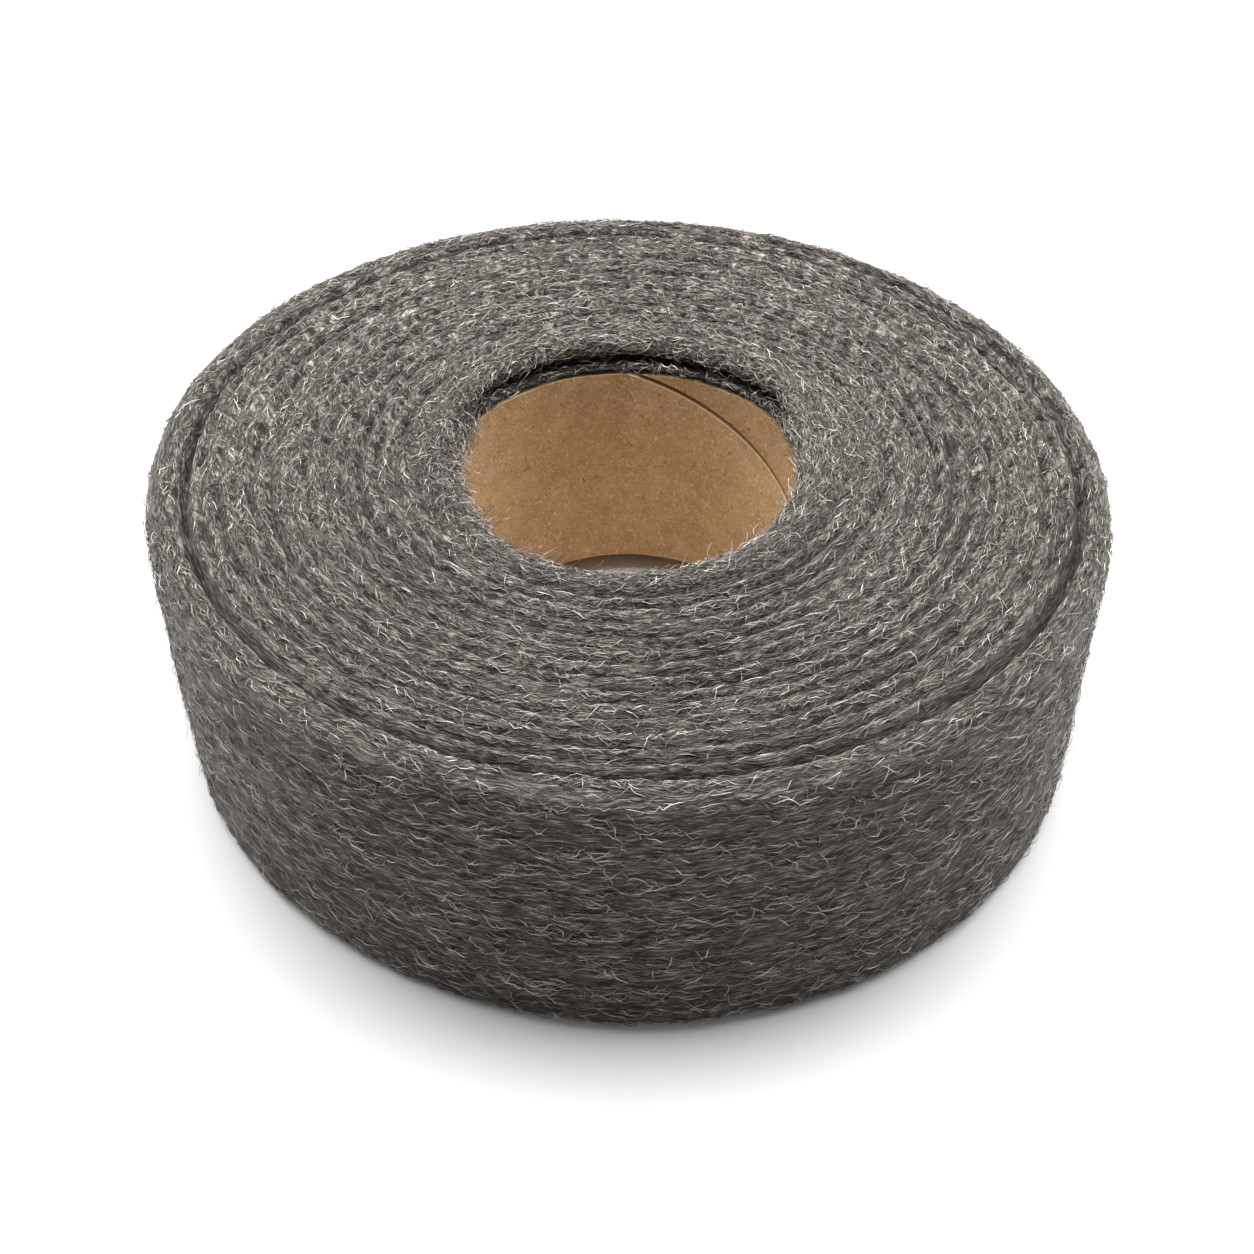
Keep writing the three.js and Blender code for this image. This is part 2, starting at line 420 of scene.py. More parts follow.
def relief(angle, across):
    """How far the wool stands out from its plain outline there, in millimetres, and the groove's share."""
    radius = outline_radius(across)
    on_top = smooth_step(across, CREST - 1.5, TOP_START) * (1 - smooth_step(across, TOP_END, TOP_END + 2.5))
    on_foot = smooth_step(across, FOOT_START - 1, FOOT_START + 1)
    on_foot = on_foot * (1 - smooth_step(across, FOOT_END - 1, FOOT_END + 1))
    side = smooth_step(across, TOP_END, SHOULDER_END) * (1 - smooth_step(across, SIDE_END, FOOT_START))

    wound = (radius - WOOL_BORE_RADIUS) / TURN_THICKNESS
    share = turn_share(angle)
    nearest = np.clip(np.round(wound - share), 1, TURNS - 1)
    off_groove = (wound - share - nearest) * TURN_THICKNESS
    depth = groove_depth(nearest + share)
    notch = np.exp(-(off_groove / (NOTCH_WIDTH + NOTCH_WIDENING * depth)) ** 2)
    hollow = np.exp(-(off_groove / HOLLOW_WIDTH) ** 2)
    groove = depth * (NOTCH_SHARE * notch + HOLLOW_SHARE * hollow)

    wavy = across + DRIFT * drift(angle, across)
    fine = BUNDLE_RELIEF * bundles(angle, wavy) + STREAK_RELIEF * streaks(angle, wavy)
    top = TURN_RELIEF * turn_height(angle, across) + TOP_SWELL * swell(angle, across) - groove + fine
    flank = SIDE_SWELL * swell(angle, across) + SIDE_FINENESS * fine
    foot = -HOLLOW_SHARE * groove - FOOT_SQUASH - FOOT_SQUASH * bundles(angle, wavy)
    height = on_top * top + side * flank + on_foot * foot
    height += (1 - np.clip(on_top + side + on_foot, 0, 1)) * fine * ROUNDED_FINENESS
    last_fade = smooth_step(across, OUTLINE_END - SEAM_FADE, OUTLINE_END)
    height *= smooth_step(across, 0, SEAM_FADE) * (1 - last_fade)
    crevice = CREVICE_SHADE * np.exp(-((across - CREVICE) / CREVICE_REACH) ** 2)
    return height, on_top * groove + crevice * (1 - rim_fullness(angle))


print("the front of the side stands out by", round(float(relief(-math.pi / 2, SIDE_END - 20)[0]), 2), "mm")

# %% [markdown]
# ## A place on the wool
# This is the one function that the body and the fibres share. It takes the plain outline's place, moves
# it out by the relief, lets each groove and the rim wander a little from a true circle, and draws the
# roll out along one diagonal, as a soft roll is. The way out is a quarter turn from the way along the
# outline.


# %% A place on the wool, and the way out there
GROOVE_WANDER = 0.55
RIM_WANDER = 0.6


def blended(angle, across, open_values, full_values):
    """A value along the outline, between the open rim's and the full rim's."""
    full = rim_fullness(angle)
    open_value = np.interp(across, outline_length, open_values)
    return open_value + full * (np.interp(across, outline_length, full_values) - open_value)


def wool_point(angle, across, lift=0.0):
    """Places on the wool as (..., 3) arrays in metres: the place, and the way out of the surface there."""
    angle, across = np.broadcast_arrays(np.asarray(angle, float), np.asarray(across, float))
    height, _ = relief(angle, across)
    radius = blended(angle, across, outline[:, 0], full_outline[:, 0])
    z = blended(angle, across, outline[:, 1], full_outline[:, 1])
    out_r = -blended(angle, across, tangents[:, 1], full_tangents[:, 1])
    out_z = blended(angle, across, tangents[:, 0], full_tangents[:, 0])
    length = np.hypot(out_r, out_z)
    out_r, out_z = out_r / length, out_z / length

    on_turns = smooth_step(across, TOP_START, TOP_START + 5)
    on_turns = on_turns * (1 - smooth_step(across, TOP_END - 6, TOP_END))
    on_rim = smooth_step(across, LIP_NOSE, LIP_NOSE + 3) * (1 - smooth_step(across, CREST, TOP_START))
    radius = radius + GROOVE_WANDER * on_turns * groove_wobble(angle, across)
    radius = radius + RIM_WANDER * on_rim * rim_wander(angle, across)
    radius = radius + out_r * (height + lift)
    z = z + out_z * (height + lift)
    outness = np.clip((radius - WOOL_BORE_RADIUS) / (ROLL_RADIUS - WOOL_BORE_RADIUS), 0, None)
    radius = radius * (1 - OVALITY * outness * np.sin(2 * angle))
    place = np.stack([radius * np.cos(angle), radius * np.sin(angle), z], -1) * MM
    out = np.stack([out_r * np.cos(angle), out_r * np.sin(angle), out_z], -1)
    return place, out


for where, across in (("top", (TOP_START + TOP_END) / 2), ("side", (SHOULDER_END + SIDE_END) / 2)):
    print(f"at the right of the {where}, the way out is", wool_point(0.0, across)[1].round(2))

# %% [markdown]
# ## The body of the wool
# The body is a flat grid, wrapped round the roll and closed: its columns go round, and its rows go across
# the outline. On the two ends the rows follow the spiral of the turns, so each groove has a row along its
# bottom and stays crisp. Going round once moves every row out by one turn, which the grid's two edges
# make up for by meeting a turn apart. Merging the doubles closes the seam and drops the rows that run out
# at the ends.

# %% The rows and columns of the grid
COLUMNS = 352
ROWS_IN_TURN_ON_TOP = (0, 0.12, 0.3, 0.5, 0.7, 0.88)  # closer together by the groove
ROWS_IN_TURN_ON_FOOT = (0, 0.5)
BORE_ROW_SPACING = 4.0  # the tube hides the bore wall
RIM_ROW_SPACING = 0.6
EDGE_ROW_SPACING = 0.8
SIDE_ROW_SPACING = 1.0
MERGE_DISTANCE = 2e-6
SHORTEST_EDGE = 1e-6


def spiral_rows(share, low, high, rows_in_turn):
    """The radii of the rows on one end of the roll, kept between two distances across the outline."""
    turns_wound = (np.arange(TURNS + 2)[:, None] + np.array(rows_in_turn)).reshape(-1, 1)
    radius = WOOL_BORE_RADIUS + TURN_THICKNESS * (turns_wound - 1 + share[None, :])
    return np.clip(radius, *sorted((outline_radius(low), outline_radius(high))))


def ring_rows(start, end, spacing, columns):
    """Rows that go straight round, from one distance across the outline to another."""
    count = max(1, round((end - start) / spacing))
    return np.repeat(np.linspace(start, end, count + 1)[:, None], columns, 1)


def open_edges(thing):
    """How many edges of a mesh don't have just two faces. A closed piece has none."""
    edge_of_corner = np.empty(len(thing.data.loops), int)
    thing.data.loops.foreach_get("edge_index", edge_of_corner)
    return int((np.bincount(edge_of_corner, minlength=len(thing.data.edges)) != 2).sum())


share = np.linspace(0, 1, COLUMNS + 1)
top_radii = spiral_rows(share, TOP_START, TOP_END, ROWS_IN_TURN_ON_TOP)
foot_radii = spiral_rows(share, FOOT_START, FOOT_END, ROWS_IN_TURN_ON_FOOT)[::-1]
rows = np.vstack([
    ring_rows(0, LIP_NOSE, BORE_ROW_SPACING, COLUMNS + 1)[:-1],
    ring_rows(LIP_NOSE, TOP_START, RIM_ROW_SPACING, COLUMNS + 1)[:-1],
    TOP_START + (top_radii - outline_radius(TOP_START)),
    ring_rows(TOP_END, SHOULDER_END, EDGE_ROW_SPACING, COLUMNS + 1)[1:],
    ring_rows(SHOULDER_END, SIDE_END, SIDE_ROW_SPACING, COLUMNS + 1)[1:],
    ring_rows(SIDE_END, FOOT_START, EDGE_ROW_SPACING, COLUMNS + 1)[1:-1],
    FOOT_START + (outline_radius(FOOT_START) - foot_radii),
    ring_rows(FOOT_END, OUTLINE_END, BORE_ROW_SPACING, COLUMNS + 1)[1:],
])
print(f"the grid is {rows.shape[1] - 1} columns by {rows.shape[0] - 1} rows")

# %% Wrap the grid round the roll
bpy.ops.object.select_all(action="DESELECT")
bpy.ops.mesh.primitive_grid_add(x_subdivisions=COLUMNS, y_subdivisions=rows.shape[0] - 1, size=1)
wool_body = bpy.context.active_object
wool_body.name = "wool_turns"
angles = math.pi / 2 + share * math.tau
places, _ = wool_point(np.broadcast_to(angles, rows.shape), rows)
places[..., 2] = np.maximum(places[..., 2], 0.0)  # nothing goes through the floor
wool_body.data.vertices.foreach_set("co", places.reshape(-1))
bpy.ops.object.mode_set(mode="EDIT")
bpy.ops.mesh.select_all(action="SELECT")
bpy.ops.mesh.remove_doubles(threshold=MERGE_DISTANCE)
bpy.ops.mesh.dissolve_degenerate(threshold=SHORTEST_EDGE)
bpy.ops.mesh.normals_make_consistent(inside=False)
bpy.ops.object.mode_set(mode="OBJECT")
bpy.ops.object.shade_smooth()
print("the body has", len(wool_body.data.polygons), "faces and", open_edges(wool_body), "open edges")

# %% [markdown]
# ## The felt under the fibres
# Steel wool is plain low-carbon steel, shaved into strands with a rough three-sided section. A strand
# glints where a facet meets the light and is black where it turns away, and light that goes in between
# strands is lost. So the felt is a dark warm grey metal, streaked along the winding, with a strong bump.
# The pattern reads the place on the roll: the direction from the axis, squeezed, gives long streaks round
# the roll, and radius less height gives fine detail across them, on the top and on the side alike.

# %% Texture places along the winding
MIDDLE_RADIUS_MM = 75
WAVE_MM = 9  # how long the slow waves in the streaks are


def scale_for(size_mm):
    """The texture scale that gives features of about this many millimetres."""
    return 1000 / size_mm


def winding_vector(tree, streak_mm, across_mm, waver_mm):
    """A texture place whose X and Y go slowly round the roll, and whose Z goes quickly across it."""
    position = node(tree, "ShaderNodeTexCoord").outputs["Object"]
    parts = node(tree, "ShaderNodeSeparateXYZ", Vector=position)
    flat = node(tree, "ShaderNodeCombineXYZ", X=parts.outputs["X"], Y=parts.outputs["Y"], Z=0.0)
    radius = node(tree, "ShaderNodeVectorMath", {"operation": "LENGTH"}, i0=flat.outputs["Vector"])
    direction = node(tree, "ShaderNodeVectorMath", {"operation": "NORMALIZE"}, i0=flat.outputs["Vector"])
    squeezed = node(tree, "ShaderNodeVectorMath", {"operation": "SCALE"}, i0=direction.outputs["Vector"])
    squeezed.inputs["Scale"].default_value = MIDDLE_RADIUS_MM / streak_mm
    across = node(tree, "ShaderNodeMath", {"operation": "SUBTRACT"},
                  i0=radius.outputs["Value"], i1=parts.outputs["Z"])
    waves = node(tree, "ShaderNodeTexNoise", Vector=position, Scale=scale_for(WAVE_MM), Detail=2.0)
    wavy = node(tree, "ShaderNodeMath", {"operation": "MULTIPLY_ADD"},
                i0=waves.outputs["Fac"], i1=waver_mm * MM, i2=across.outputs["Value"])
    fine = node(tree, "ShaderNodeMath", {"operation": "MULTIPLY"},
                i0=wavy.outputs["Value"], i1=1 / (across_mm * MM))
    raised = node(tree, "ShaderNodeCombineXYZ", X=0.0, Y=0.0, Z=fine.outputs["Value"])
    whole = node(tree, "ShaderNodeVectorMath", {"operation": "ADD"},
                 i0=squeezed.outputs["Vector"], i1=raised.outputs["Vector"])
    return whole.outputs["Vector"]


print(f"the streaks' slow waves have a texture scale of {scale_for(WAVE_MM):.0f}")

# %% [markdown]
# The felt is painted paler on the top, as painted light, and darker below it, as painted shade: it
# darkens down in the grooves and is darkest under the rim by the tube. So the streaks' brightness is
# shifted by the height and by the distance from the axis, before a ramp turns it to colour. Its metallic
# value is below a whole metal's, which stands for the light that strands scatter between them.

# %% Felt material
STRAND_SPACING_MM = 0.4  # real strands are a tenth of this apart; drawn coarse enough to show
SHORT_SPACING_MM = STRAND_SPACING_MM * 0.7
LONG_STREAK_MM = 4.0
SHORT_STREAK_MM = 2.0
LONG_WAVER_MM = 3.0
SHORT_WAVER_MM = 7.0
FELT_BUMP_MM = 0.35
# painted light on the top of the felt, and painted shade under the rim by the tube
PAINTED_TOP_LIGHT = 0.17
PAINTED_RIM_SHADE = 0.45
FELT_TONES = [(0.0, "#0d0c0b"), (0.35, "#322f2b"), (0.75, "#65615b"), (1.0, "#969089")]

felt, felt_tree, felt_shader = new_material("low_carbon_steel_shaved_into_wool")
long_streaks = node(felt_tree, "ShaderNodeTexNoise",
                    Vector=winding_vector(felt_tree, LONG_STREAK_MM, STRAND_SPACING_MM, LONG_WAVER_MM),
                    Scale=1.0, Detail=4.0, Roughness=0.7)
short_streaks = node(felt_tree, "ShaderNodeTexNoise",
                     Vector=winding_vector(felt_tree, SHORT_STREAK_MM, SHORT_SPACING_MM, SHORT_WAVER_MM),
                     Scale=1.0, Detail=3.0, Roughness=0.7)
both = node(felt_tree, "ShaderNodeMath", {"operation": "MULTIPLY"},
            i0=long_streaks.outputs["Fac"], i1=short_streaks.outputs["Fac"])
strands = node(felt_tree, "ShaderNodeMapRange", Value=both.outputs["Value"],
               From_Min=0.15, From_Max=0.36)
felt_place = node(felt_tree, "ShaderNodeTexCoord").outputs["Object"]
felt_parts = node(felt_tree, "ShaderNodeSeparateXYZ", Vector=felt_place)
# painted light and shade: the felt is paler on the top, darker below it, and darkest by the tube under the
# rim
below_top = node(felt_tree, "ShaderNodeMapRange", Value=felt_parts.outputs["Z"],
                 From_Min=(TOP - 0.3) * MM, From_Max=(TOP - 4.0) * MM)
felt_flat = node(felt_tree, "ShaderNodeCombineXYZ",
                 X=felt_parts.outputs["X"], Y=felt_parts.outputs["Y"], Z=0.0)
felt_radius = node(felt_tree, "ShaderNodeVectorMath", {"operation": "LENGTH"},
                   i0=felt_flat.outputs["Vector"])
by_tube = node(felt_tree, "ShaderNodeMapRange", Value=felt_radius.outputs["Value"],
               From_Min=(WOOL_BORE_RADIUS + 5) * MM, From_Max=(WOOL_BORE_RADIUS + 2) * MM,
               To_Min=-PAINTED_TOP_LIGHT, To_Max=-PAINTED_RIM_SHADE)
shade = node(felt_tree, "ShaderNodeMath", {"operation": "MULTIPLY"},
             i0=below_top.outputs["Result"], i1=by_tube.outputs["Result"])
shaded = node(felt_tree, "ShaderNodeMath", {"operation": "ADD"},
              i0=strands.outputs["Result"], i1=shade.outputs["Value"])
felt_with_painted_light = node(felt_tree, "ShaderNodeMath", {"operation": "ADD"},
                i0=shaded.outputs["Value"], i1=PAINTED_TOP_LIGHT)
felt_colour = colour_ramp(felt_tree, felt_with_painted_light.outputs["Value"], FELT_TONES)
felt_tree.links.new(felt_colour, felt_shader.inputs["Base Color"])
felt_shader.inputs["Metallic"].default_value = 0.6
felt_shader.inputs["Roughness"].default_value = 0.5
felt_bump = node(felt_tree, "ShaderNodeBump", Height=strands.outputs["Result"], Strength=0.9,
                 Distance=FELT_BUMP_MM * MM)
felt_tree.links.new(felt_bump.outputs["Normal"], felt_shader.inputs["Normal"])
wool_body.data.materials.append(felt)
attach(wool_body, "root")
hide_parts("steel_wool_ribbon")
print("the felt has", len(felt_tree.nodes), "nodes")

# %% [markdown]
# ## The fibres
# The look of steel wool is its fibres, so they are real geometry: thousands of fine three-sided strands
# that lie along the winding, waver, cross and dive under each other. Blender's hair would look right but
# leaves no mesh behind, and bevelled curves give round wire. So each strand is built here from a line of
# places on the wool: a triangle at each place, turned a little from one to the next as shaving twists it,
# and joined up. Real fibres are about 0.05 mm thick; they are drawn coarser, so that they show.

# %% Fibre materials
FIBRE_TONES = [  # colour and roughness; the fresher the cut, the brighter and the smoother
    ("#57534e", 0.55), ("#78736d", 0.5), ("#938d87", 0.47), ("#b0aaa3", 0.44), ("#d2cdc6", 0.4),
]
fibre_steels = []
for tone, (hex_colour, roughness) in enumerate(FIBRE_TONES):
    steel, _, steel_shader = new_material(f"shaved_steel_fibre_{tone + 1}")
    steel_shader.inputs["Base Color"].default_value = linear(hex_colour)
    steel_shader.inputs["Metallic"].default_value = 1.0
    steel_shader.inputs["Roughness"].default_value = roughness
    fibre_steels.append(steel)
print(len(fibre_steels), "tones of steel")


# %% Build a mesh of strands
TAPER_START = 0.12  # how blunt a strand's ends are, as an angle from the start of a sine
TAPER_POWER = 0.35


def strand_mesh(name, places, outs, thickness, twist, tones):
    """A closed three-sided strand along each row of places, all in one object."""
    count, points = places.shape[:2]
    tangent = np.gradient(places, axis=1)
    tangent /= np.linalg.norm(tangent, axis=2)[..., None]
    side = np.cross(tangent, outs)
    side /= np.linalg.norm(side, axis=2)[..., None]
    up = np.cross(side, tangent)
    taper = np.sin(np.linspace(TAPER_START, math.pi - TAPER_START, points)) ** TAPER_POWER
    corners = []
    for corner in range(3):
        turn = (twist + corner * math.tau / 3)[..., None]
        reach = (thickness[:, None] * taper[None, :])[..., None]
        corners.append(places + reach * (np.cos(turn) * up + np.sin(turn) * side))
    vertices = np.stack(corners, 2).reshape(-1, 3)

    first = (np.arange(count) * points * 3)[:, None, None]
    step = (np.arange(points - 1) * 3)[None, :, None]
    corner = np.arange(3)[None, None, :]
    after = (corner + 1) % 3
    here, ahead = first + step, first + step + 3
    quads = np.stack([here + corner, here + after, ahead + after, ahead + corner], -1).reshape(count, -1, 4)
    starts = (first[:, :, 0] + np.array([[2, 1, 0]]))
    ends = (first[:, :, 0] + (points - 1) * 3 + np.array([[0, 1, 2]]))
    per_strand = quads.shape[1]
    loops = np.hstack([quads.reshape(count, -1), starts, ends]).reshape(-1)
    totals = np.tile(np.array([4] * per_strand + [3, 3]), count)
    mesh = bpy.data.meshes.new(name)
    mesh.vertices.add(len(vertices))
    mesh.vertices.foreach_set("co", vertices.astype(np.float32).reshape(-1))
    mesh.loops.add(len(loops))
    mesh.loops.foreach_set("vertex_index", loops.astype(np.int32))
    mesh.polygons.add(len(totals))
    mesh.polygons.foreach_set("loop_start", np.concatenate([[0], np.cumsum(totals)[:-1]]).astype(np.int32))
    mesh.polygons.foreach_set("material_index", np.repeat(tones, per_strand + 2).astype(np.int32))
    mesh.update(calc_edges=True)
    mesh.validate()
    strands_object = bpy.data.objects.new(name, mesh)
    bpy.context.scene.collection.objects.link(strands_object)
    for steel in fibre_steels:
        mesh.materials.append(steel)
    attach(strands_object, "root")
    triangles = count * (per_strand * 2 + 2)
    print(f"{name}: {count} strands, {triangles} triangles")


# %% [markdown]
# A strand starts somewhere on the wool and takes short steps along the winding. Its heading wavers from
# step to step, so it is crimped like the real ones. Its ends dive into the wool, and its middle rides
# above it. A stray is the same strand with one end let go, so that it stands off the roll. Strands are
# left out of most grooves, where the wool lies deep, and of the long thin gaps between bundles. About one
# in eight lies well across the others. Three times as many places are drawn as strands are asked for, and
# the first ones that may hold a strand are used.


# %% Lay strands on the wool
START_DEPTH = 0.7  # in millimetres; few strands start in a groove that is deeper
BRIDGED_DEPTH = 1.9  # in millimetres; no strand bridges a groove that is deeper
GROOVE_BARENESS = 0.95
TOP_GAP_LEVEL = 0.55  # where the wandering value passes this there is a gap, so the top has fewer
SIDE_GAP_LEVEL = 0.05
GAP_EDGE = 0.35
CROSSING_SHARE = 0.12
CROSSING_SPREAD = 0.8  # in radians, as heading_spread
STEP_SPREAD = (0.75, 1.25)
LIFT_WAVER = 0.1
END_DIVE = 0.35


def laid_strands(seed, count, across_range, points, segment_mm, crimp, lift_mm, thickness_mm, tone_shares,
                 stray_mm=0.0, angle_range=(0, math.tau), heading_spread=0.2, lip_share=0.1):
    """Random strands along the winding, as the arguments that strand_mesh takes."""
    rng = np.random.default_rng(seed)
    many = count * 3
    angle = rng.uniform(*angle_range, many)
    across = rng.uniform(*across_range, many)
    even_spread = rng.uniform(0, 1, many) < outline_radius(across) / ROLL_RADIUS
    in_groove = (relief(angle, across)[1] > START_DEPTH) & (rng.uniform(0, 1, many) < GROOVE_BARENESS)
    gap_level = np.where(across < TOP_END, TOP_GAP_LEVEL, SIDE_GAP_LEVEL)
    gap = gaps(angle, across + DRIFT * drift(angle, across)) - gap_level
    in_gap = smooth_step(gap, 0.0, GAP_EDGE) > rng.uniform(0, 1, many)
    on_lip = (across < CREVICE + 1.5) & (rim_fullness(angle) < 0.6)
    bare_lip = on_lip & (rng.uniform(0, 1, many) > lip_share)
    keep = even_spread & ~in_groove & ~in_gap & ~bare_lip
    angle, across = angle[keep][:count], across[keep][:count]
    count = len(angle)

    crossing = rng.uniform(0, 1, (count, 1)) < CROSSING_SHARE
    heading = rng.normal(0, 1, (count, 1)) * np.where(crossing, CROSSING_SPREAD, heading_spread)
    waver = np.cumsum(rng.normal(0, crimp, (count, points)), 1)
    waver -= waver.mean(1, keepdims=True)
    heading = heading + 0.6 * waver + rng.normal(0, crimp, (count, points))
    step = segment_mm * rng.uniform(*STEP_SPREAD, (count, 1))
    along = np.cumsum(np.cos(heading) * step, 1)
    over = np.cumsum(np.sin(heading) * step, 1)
    across = np.clip(across[:, None] + over - over.mean(1, keepdims=True), *across_range)
    angle = angle[:, None] + (along - along.mean(1, keepdims=True)) / outline_radius(across)

    lift = rng.uniform(*lift_mm, (count, 1)) + LIFT_WAVER * rng.normal(0, 1, (count, points))
    arch = np.sin(np.linspace(0.1, math.pi - 0.1, points)) ** 0.6
    lift = (lift * arch - END_DIVE * (1 - arch)) * (1 - np.clip(relief(angle, across)[1] / 1.1, 0, 1))
    let_go = np.linspace(0, 1, points) ** 1.4 * rng.uniform(0.25, 1, (count, 1)) ** 1.5
    falls_back = np.where(rng.uniform(0, 1, (count, 1)) < 0.5, 1, np.linspace(1, 0.3, points))
    lift = lift + stray_mm * let_go * falls_back
    clear = relief(angle, across)[1].max(1) < BRIDGED_DEPTH
    angle, across, lift, count = angle[clear], across[clear], lift[clear], int(clear.sum())
    places, outs = wool_point(angle, across, lift)
    places[..., 2] = np.maximum(places[..., 2], 0.15 * MM)
    thickness = rng.uniform(*thickness_mm, count) * MM
    twist = rng.uniform(0, math.tau, (count, 1)) + np.cumsum(rng.normal(0, 0.5, (count, points)), 1)
    tones = rng.choice(len(fibre_steels), count, p=tone_shares)
    return places, outs, thickness, twist, tones


sample = gaps(np.linspace(0, math.tau, 2000), (SHOULDER_END + SIDE_END) / 2)
print(f"along the middle of the side, {100 * np.mean(sample > SIDE_GAP_LEVEL):.0f} % lies in a gap")

# %% [markdown]
# The wool is laid in layers, from the felt out. An under layer of long, darker strands comes first; their
# darker tones are painted shade, as deeper strands lie in the shade of those above. An over layer of
# shorter, brighter and more crimped ones lies on it. The side has more dark and more bright strands than
# the top: the bright ones are painted glints and the dark ones painted shade. Then come the hairs: strays
# off the outline, curls round the rim, short fuzz on the sunken first turn at the back, and fuzz on the
# left of the rim, where the wool is loosest. A thickness is a strand's reach from its middle to a corner.

# %% The layers of strands
# painted shade: the under layers get darker tones than the over layers; painted glints and painted shade:
# the side gets more bright and more dark strands than the top
UNDER_TONES_PAINTED_SHADE = (0.32, 0.34, 0.23, 0.09, 0.02)  # the shares of the five tones of steel
OVER_TONES = (0.10, 0.27, 0.33, 0.22, 0.08)
SIDE_UNDER_TONES_PAINTED_SHADE = (0.44, 0.33, 0.17, 0.05, 0.01)
SIDE_OVER_TONES_PAINTED_GLINTS = (0.07, 0.19, 0.31, 0.28, 0.15)
STRAY_TONES = (0.10, 0.22, 0.30, 0.25, 0.13)
TOP_RANGE = (LIP_NOSE, TOP_END + 3)
SIDE_RANGE = (TOP_END, SIDE_END + 5)
BACK_OF_RIM = (math.radians(5), math.radians(175))
LEFT_OF_RIM = (math.radians(140), math.radians(222))
UNDER_LAYER = {"points": 3, "segment_mm": 2.4, "crimp": 0.3, "lift_mm": (0.0, 0.45),
               "thickness_mm": (0.07, 0.11)}
OVER_LAYER = {"points": 5, "segment_mm": 1.35, "crimp": 0.42, "lift_mm": (0.2, 0.7),
              "thickness_mm": (0.065, 0.1), "heading_spread": 0.35}

strand_mesh("wool_fibres_top_under", *laid_strands(
    11, 12800, TOP_RANGE, tone_shares=UNDER_TONES_PAINTED_SHADE, **UNDER_LAYER))
strand_mesh("wool_fibres_side_under", *laid_strands(
    13, 11600, SIDE_RANGE, tone_shares=SIDE_UNDER_TONES_PAINTED_SHADE, **UNDER_LAYER))
strand_mesh("wool_fibres_top_over", *laid_strands(
    12, 6500, TOP_RANGE, tone_shares=OVER_TONES, **OVER_LAYER))
strand_mesh("wool_fibres_side_over", *laid_strands(
    14, 6500, SIDE_RANGE, tone_shares=SIDE_OVER_TONES_PAINTED_GLINTS, **OVER_LAYER))
strand_mesh("wool_fibres_foot", *laid_strands(
    15, 500, (SIDE_END, FOOT_END), points=5, segment_mm=2.2, crimp=0.2, lift_mm=(-0.1, 0.2),
    thickness_mm=(0.10, 0.14), tone_shares=UNDER_TONES_PAINTED_SHADE))
strand_mesh("wool_strays", *laid_strands(
    16, 1750, (CREST, SIDE_END), points=7, segment_mm=0.9, crimp=0.42, lift_mm=(0.3, 0.7),
    thickness_mm=(0.05, 0.08), tone_shares=STRAY_TONES, stray_mm=2.8))
strand_mesh("wool_rim_curls", *laid_strands(
    17, 620, (LIP_NOSE, TOP_START), points=7, segment_mm=0.9, crimp=0.5, lift_mm=(0.2, 0.6),
    thickness_mm=(0.055, 0.085), tone_shares=STRAY_TONES, stray_mm=4.5))
strand_mesh("wool_lip_fuzz", *laid_strands(
    19, 320, (LIP_NOSE - 1.5, CREVICE - 1.0), points=7, segment_mm=0.8, crimp=0.45, lift_mm=(0.1, 0.6),
    thickness_mm=(0.05, 0.08), tone_shares=OVER_TONES, stray_mm=1.8, angle_range=BACK_OF_RIM,
    heading_spread=0.5, lip_share=0.8))
strand_mesh("wool_rim_fuzz", *laid_strands(
    18, 560, (LIP_NOSE - 1, CREST), points=7, segment_mm=0.9, crimp=0.5, lift_mm=(0.2, 0.9),
    thickness_mm=(0.055, 0.09), tone_shares=STRAY_TONES, stray_mm=6.0, angle_range=LEFT_OF_RIM,
    heading_spread=0.5))

# %% [markdown]
# ## The cardboard tube
# A tube like this is wound from strips of kraft paper, glued round a mandrel in a spiral, and sawn to
# length. Inside it the edges of the last strip nearly meet, which leaves one spiral seam. A texture could
# fake the seam, but the Screw modifier winds a real strip: its thin section climbs one lead for each
# turn, from well below the tube to well above it, and a bisect at each end saws it off.

# %% Wind the innermost strip
PLY = 0.45  # how thick the innermost strip is
SEAM_LEAD = 87.5
SEAM_GAP = 1.0
SEAM_Z_AT_X_AXIS = 36.8
STRIP_TURNS = 3
STRIP_EDGE_ROUND = 0.12
TUBE_STEPS = 240


def saw(z, clear_above):
    """Cuts the active object off square at a height, and closes the cut."""
    bpy.ops.object.mode_set(mode="EDIT")
    bpy.ops.mesh.select_all(action="SELECT")
    bpy.ops.mesh.bisect(plane_co=(0, 0, z * MM), plane_no=(0, 0, 1), use_fill=True,
                        clear_outer=clear_above, clear_inner=not clear_above)
    bpy.ops.object.mode_set(mode="OBJECT")


bpy.ops.object.select_all(action="DESELECT")
bpy.ops.mesh.primitive_plane_add(size=1, location=(0, 0, 0))
strip = bpy.context.active_object
strip.name = "cardboard_tube"
strip_low = SEAM_Z_AT_X_AXIS - 2 * SEAM_LEAD + SEAM_GAP / 2
strip_high = SEAM_Z_AT_X_AXIS - SEAM_LEAD - SEAM_GAP / 2
strip_corners = [(CORE_BORE_RADIUS, strip_low), (CORE_BORE_RADIUS + PLY, strip_low),
                 (CORE_BORE_RADIUS, strip_high), (CORE_BORE_RADIUS + PLY, strip_high)]
for vertex, (radius, z) in zip(strip.data.vertices, strip_corners):
    vertex.co = (radius * MM, 0, z * MM)
bpy.ops.object.mode_set(mode="EDIT")
bpy.ops.mesh.select_all(action="SELECT")
bpy.ops.mesh.bevel(offset=STRIP_EDGE_ROUND * MM, segments=2, affect="VERTICES")
